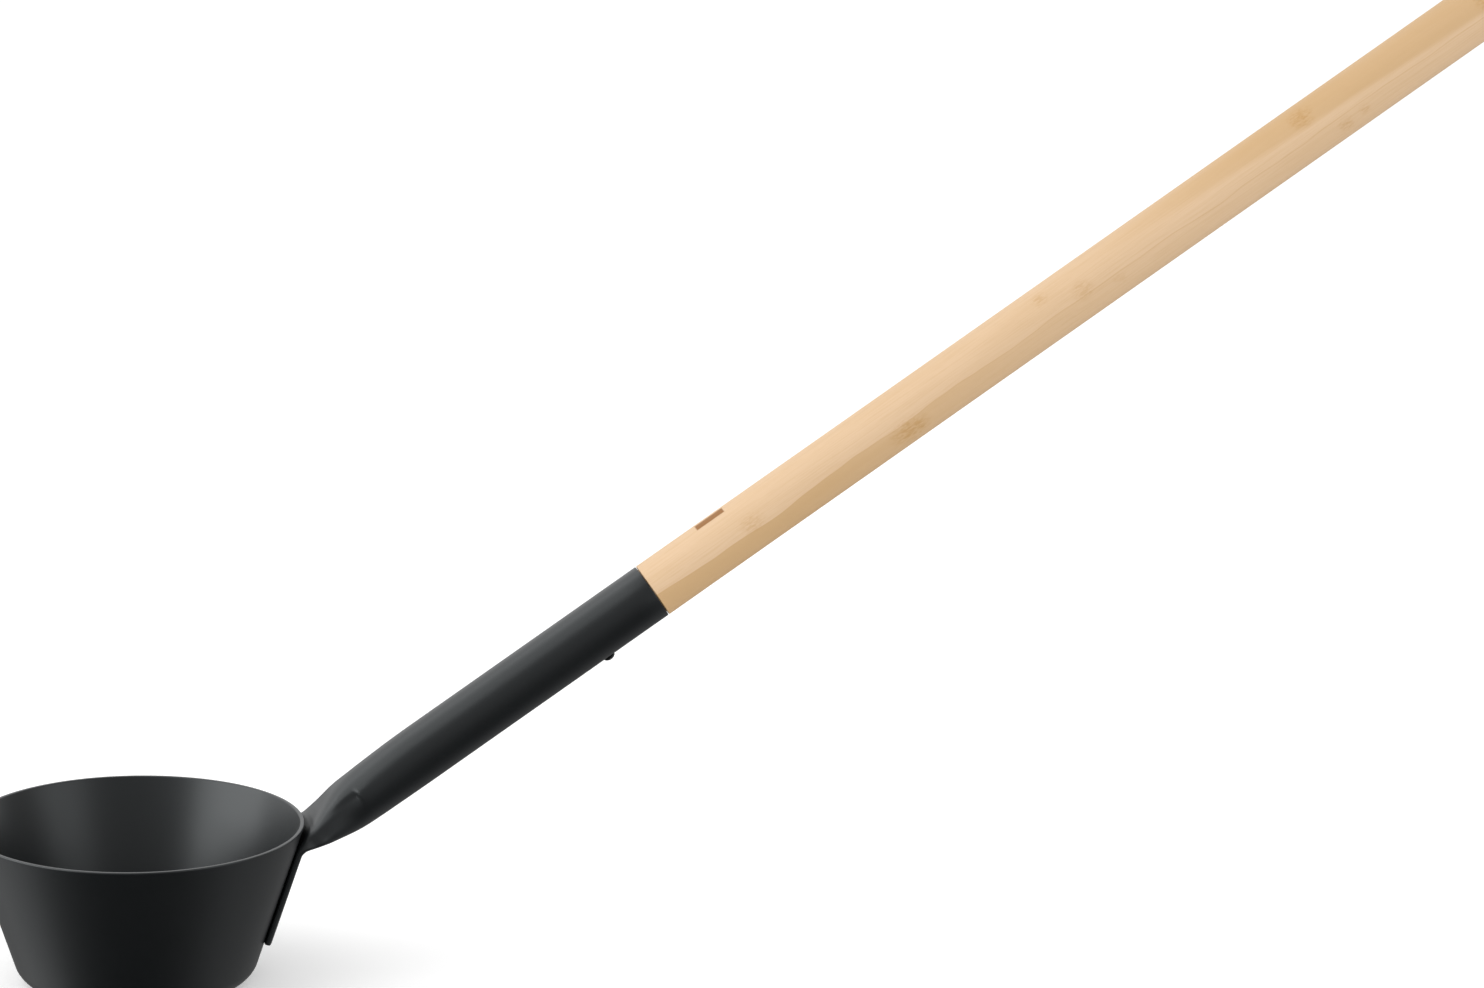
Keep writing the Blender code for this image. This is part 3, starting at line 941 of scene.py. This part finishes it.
# %% [markdown]
# ## The handle
#
# The handle is a turned rod. Its foot is thinner, a tenon that sits inside the tube, and its shoulder
# stops against the tube's end with a hairline joint. It is spun on its own axis first and then laid
# along the tube's line with one transform, which is easier than turning an outline in mid-air.

# %% Turn the handle and lay it on the tube's line
HANDLE_STEPS = 160
HANDLE_END_ROUNDING = 0.0025
HANDLE_END_SEGMENTS = 10
SHOULDER_ROUNDING = 0.00025
SHOULDER_SEGMENTS = 3
TENON_CHAMFER = 0.0010

handle_top = TUBE_RUN + HANDLE_LENGTH
shoulder = TUBE_RUN + SEAT_GAP
tenon_foot = TUBE_RUN - TENON_LENGTH

handle_shape = bmesh.new()
draw_outline(
    handle_shape,
    [
        (0, handle_top, 0, 0),
        (TUBE_RADIUS, handle_top, HANDLE_END_ROUNDING, HANDLE_END_SEGMENTS),
        (TUBE_RADIUS, shoulder, SHOULDER_ROUNDING, SHOULDER_SEGMENTS),
        (TENON_RADIUS, shoulder, 0, 0),
        (TENON_RADIUS, tenon_foot, TENON_CHAMFER, 1),
        (0, tenon_foot, 0, 0),
    ],
)
spin_outline(handle_shape, HANDLE_STEPS)
bmesh.ops.transform(handle_shape, matrix=handle_line, verts=handle_shape.verts)
make_piece(handle_shape, "bamboo_handle", bamboo, "handle")

# %% [markdown]
# ## The screw
#
# One dome-head screw comes up through the tube's underside into the tenon. It is spun like the other
# turned pieces, and a cross recess is cut in its dome for the driver, tapered as a real one is.

# %% Spin the screw
SCREW_STEPS = 64
SCREW_LENGTH = 0.0120
SHANK_RADIUS = 0.00125
POINT_LENGTH = 0.0030
HEAD_RADIUS = 0.0021
HEAD_HEIGHT = 0.0014
HEAD_EDGE = 0.0004
HEAD_ROUNDING = 0.0001
HEAD_SEGMENTS = 2
DOME_SEGMENTS = 12

dome = HEAD_HEIGHT - HEAD_EDGE
ball_radius = (HEAD_RADIUS**2 + dome**2) / (2 * dome)
dome_sweep = math.asin(HEAD_RADIUS / ball_radius)

screw_shape = bmesh.new()
dome_points = []
for k in range(DOME_SEGMENTS + 1):
    angle = dome_sweep * k / DOME_SEGMENTS
    drop = ball_radius * (1 - math.cos(angle))
    dome_points.append((ball_radius * math.sin(angle), HEAD_HEIGHT - drop, 0, 0))
draw_outline(
    screw_shape,
    dome_points
    + [
        (HEAD_RADIUS, 0, HEAD_ROUNDING, HEAD_SEGMENTS),
        (SHANK_RADIUS, 0, 0, 0),
        (SHANK_RADIUS, POINT_LENGTH - SCREW_LENGTH, 0, 0),
        (0, -SCREW_LENGTH, 0, 0),
    ],
)
spin_outline(screw_shape, SCREW_STEPS)
seat = Matrix.Translation((TUBE_RADIUS + SEAT_GAP, 0, TUBE_RUN - SCREW_FROM_END))
screw_line = handle_line @ seat @ Matrix.Rotation(math.pi / 2, 4, "Y")
bmesh.ops.transform(screw_shape, matrix=screw_line, verts=screw_shape.verts)
screw = make_piece(screw_shape, "dome_screw", screw_black, "screw")

# %% [markdown]
# The recess is cut with two bars that cross. A boolean cuts cleanly here, because the head is one closed
# shape. Its result becomes the screw's own mesh, so that no cutter stays in the scene.

# %% Cut the cross recess
RECESS_SPAN = 0.0022
RECESS_WIDTH = 0.0005
RECESS_DEPTH = 0.0009
RECESS_FOOT = 0.45


def recess_blade(turned):
    """One arm of the cross: a bar that narrows with depth."""
    blade = bmesh.new()
    bmesh.ops.create_cube(blade, size=1)
    for vert in blade.verts:
        narrowing = RECESS_FOOT if vert.co.z < 0 else 1
        vert.co.x *= RECESS_SPAN * narrowing
        vert.co.y *= RECESS_WIDTH
        vert.co.z *= 2 * RECESS_DEPTH
    placed = screw_line @ Matrix.Translation((0, 0, HEAD_HEIGHT)) @ Matrix.Rotation(turned, 4, "Z")
    bmesh.ops.transform(blade, matrix=placed, verts=blade.verts)
    mesh = bpy.data.meshes.new("recess")
    blade.to_mesh(mesh)
    blade.free()
    cutter = bpy.data.objects.new("recess", mesh)
    scene.collection.objects.link(cutter)
    return cutter


for turned in (0, math.pi / 2):
    cutter = recess_blade(turned)
    boolean = screw.modifiers.new("recess", "BOOLEAN")
    boolean.object = cutter
    boolean.solver = "EXACT"
    graph = bpy.context.evaluated_depsgraph_get()
    cut_mesh = bpy.data.meshes.new_from_object(screw.evaluated_get(graph))
    screw.modifiers.clear()
    screw.data = cut_mesh
    bpy.data.objects.remove(cutter)
print("screw after the cuts:", len(screw.data.polygons), "faces")

# %% [markdown]
# ## Floor, surroundings and lamps
#
# The picture has a pure white ground. White paint under enough lamps would burn out the ladle, so the
# floor shows the camera a little light of its own and keeps the ladle's shadow, and the world is plain
# white to the camera. The floor lies a hair below the bowl's base, because two faces in one plane would
# show as stripes from below.

# %% Make the floor
FLOOR_RADIUS = 5.0
FLOOR_SEGMENTS = 96
FLOOR_BELOW_BASE = 0.0001
FLOOR_WHITE = (0.88, 0.88, 0.88, 1)
FLOOR_OWN_LIGHT = 0.32

floor_material, tree, shader = new_material("paper_floor")
shader.inputs["Base Color"].default_value = FLOOR_WHITE
shader.inputs["Roughness"].default_value = 1.0
shader.inputs["Specular IOR Level"].default_value = 0.0
rays = tree.nodes.new("ShaderNodeLightPath")
shader.inputs["Emission Color"].default_value = (1, 1, 1, 1)
own_light = maths(tree, "MULTIPLY", rays.outputs["Is Camera Ray"], FLOOR_OWN_LIGHT)
tree.links.new(own_light, shader.inputs["Emission Strength"])

floor_shape = bmesh.new()
just_below = Matrix.Translation((0, 0, -FLOOR_BELOW_BASE))
bmesh.ops.create_circle(
    floor_shape, cap_ends=True, segments=FLOOR_SEGMENTS, radius=FLOOR_RADIUS, matrix=just_below
)
floor_mesh = bpy.data.meshes.new("floor")
floor_shape.to_mesh(floor_mesh)
floor_shape.free()
floor_mesh.materials.append(floor_material)
floor = bpy.data.objects.new("floor", floor_mesh)
scene.collection.objects.link(floor)
floor.visible_glossy = False
print("floor", FLOOR_RADIUS * 2, "m across")

# %% [markdown]
# What the black coat shows is its surroundings, so these matter more than the lamps. They are white
# behind the ladle, grey all round, a little brighter low behind on the left, and nearly black low in
# front. Only glossy rays see this room. The camera sees plain white, and the light that reaches the
# ladle from all sides has one even level of its own, so each can be set without moving the others.

# %% Levels of the surroundings
AMBIENT = 0.82
ROOM_LEVEL = 0.24
BACK_WHITE = 1.0
BACK_FADE = (0.0, 0.5)
HORIZON_FADE = (-0.04, 0.08)
GLOW_DIRECTION = Vector((-0.80, 0.40, -0.45)).normalized()
GLOW_FADE = (0.70, 1.0)
GLOW_LEVEL = 0.55
DIM_DIRECTION = Vector((-0.10, -0.66, -0.74)).normalized()
DIM_FADE = (0.45, 0.97)
DIM_SHARE = 0.88

world = bpy.data.worlds.new("studio")
scene.world = world
world.use_nodes = True
tree = world.node_tree
tree.nodes.clear()
direction = add_node(tree, "ShaderNodeTexCoord", output="Generated")
compass = tree.nodes.new("ShaderNodeSeparateXYZ")
tree.links.new(direction, compass.inputs[0])


def facing(aim):
    """How nearly a direction points at aim: 1 straight at it, 0 at a right angle."""
    return add_node(
        tree, "ShaderNodeVectorMath", {0: direction, 1: aim}, output="Value", operation="DOT_PRODUCT"
    )


# %% Mix the surroundings
behind = fade(tree, compass.outputs["Y"], *BACK_FADE)
above = fade(tree, compass.outputs["Z"], *HORIZON_FADE)
back_wall = maths(tree, "MULTIPLY", behind, above)
around = fade(tree, back_wall, 0.0, 1.0, ROOM_LEVEL, BACK_WHITE)
glow = fade(tree, facing(GLOW_DIRECTION), *GLOW_FADE, 0.0, GLOW_LEVEL)
around = maths(tree, "MAXIMUM", around, glow)
dim = fade(tree, facing(DIM_DIRECTION), *DIM_FADE, 1.0, 1 - DIM_SHARE)
around = maths(tree, "MULTIPLY", around, dim)
rays = tree.nodes.new("ShaderNodeLightPath")
level = maths(tree, "MULTIPLY", around, rays.outputs["Is Glossy Ray"])
seen = maths(tree, "MAXIMUM", rays.outputs["Is Camera Ray"], rays.outputs["Is Transmission Ray"])
level = maths(tree, "MAXIMUM", level, seen)
unseen = maths(tree, "SUBTRACT", 1.0, maths(tree, "MAXIMUM", rays.outputs["Is Glossy Ray"], seen))
level = maths(tree, "MULTIPLY_ADD", unseen, AMBIENT, level)
background = add_node(tree, "ShaderNodeBackground", {"Color": (1, 1, 1, 1), "Strength": level})
tree.links.new(background, tree.nodes.new("ShaderNodeOutputWorld").inputs["Surface"])
print("world has", len(tree.nodes), "nodes")

# %% [markdown]
# Three softboxes give the coat its long soft highlights: a large one on the left, a weaker one in front
# on the right, and one above. They are area lamps, because a black gloss shows a lamp's shape. Each
# strength is written as a brightness, so that a size can change without changing the highlight.

# %% Hang the lamps
# Softboxes: name, place, width, height and brightness. All aim at the bowl and the tube.
AIM = Vector((0.10, 0, 0.08))
SOFTBOXES = [
    ("left_softbox", Vector((-1.30, -0.12, 0.68)), 1.50, 1.00, 1.85),
    ("right_softbox", Vector((1.18, -0.98, 0.58)), 1.10, 1.00, 0.66),
    ("top_softbox", Vector((-0.70, 0.00, 1.41)), 2.00, 1.00, 0.57),
]
for name, spot, width, height, brightness in SOFTBOXES:
    lamp = bpy.data.lights.new(name, "AREA")
    lamp.shape = "RECTANGLE"
    lamp.size = width
    lamp.size_y = height
    lamp.energy = brightness * math.pi * width * height
    holder = bpy.data.objects.new(name, lamp)
    aimed = (spot - AIM).to_track_quat("Z", "Y").to_matrix().to_4x4()
    holder.matrix_world = Matrix.Translation(spot) @ aimed
    scene.collection.objects.link(holder)
    print(name, "at", round((spot - AIM).length, 2), "m gives", round(lamp.energy, 1), "W")
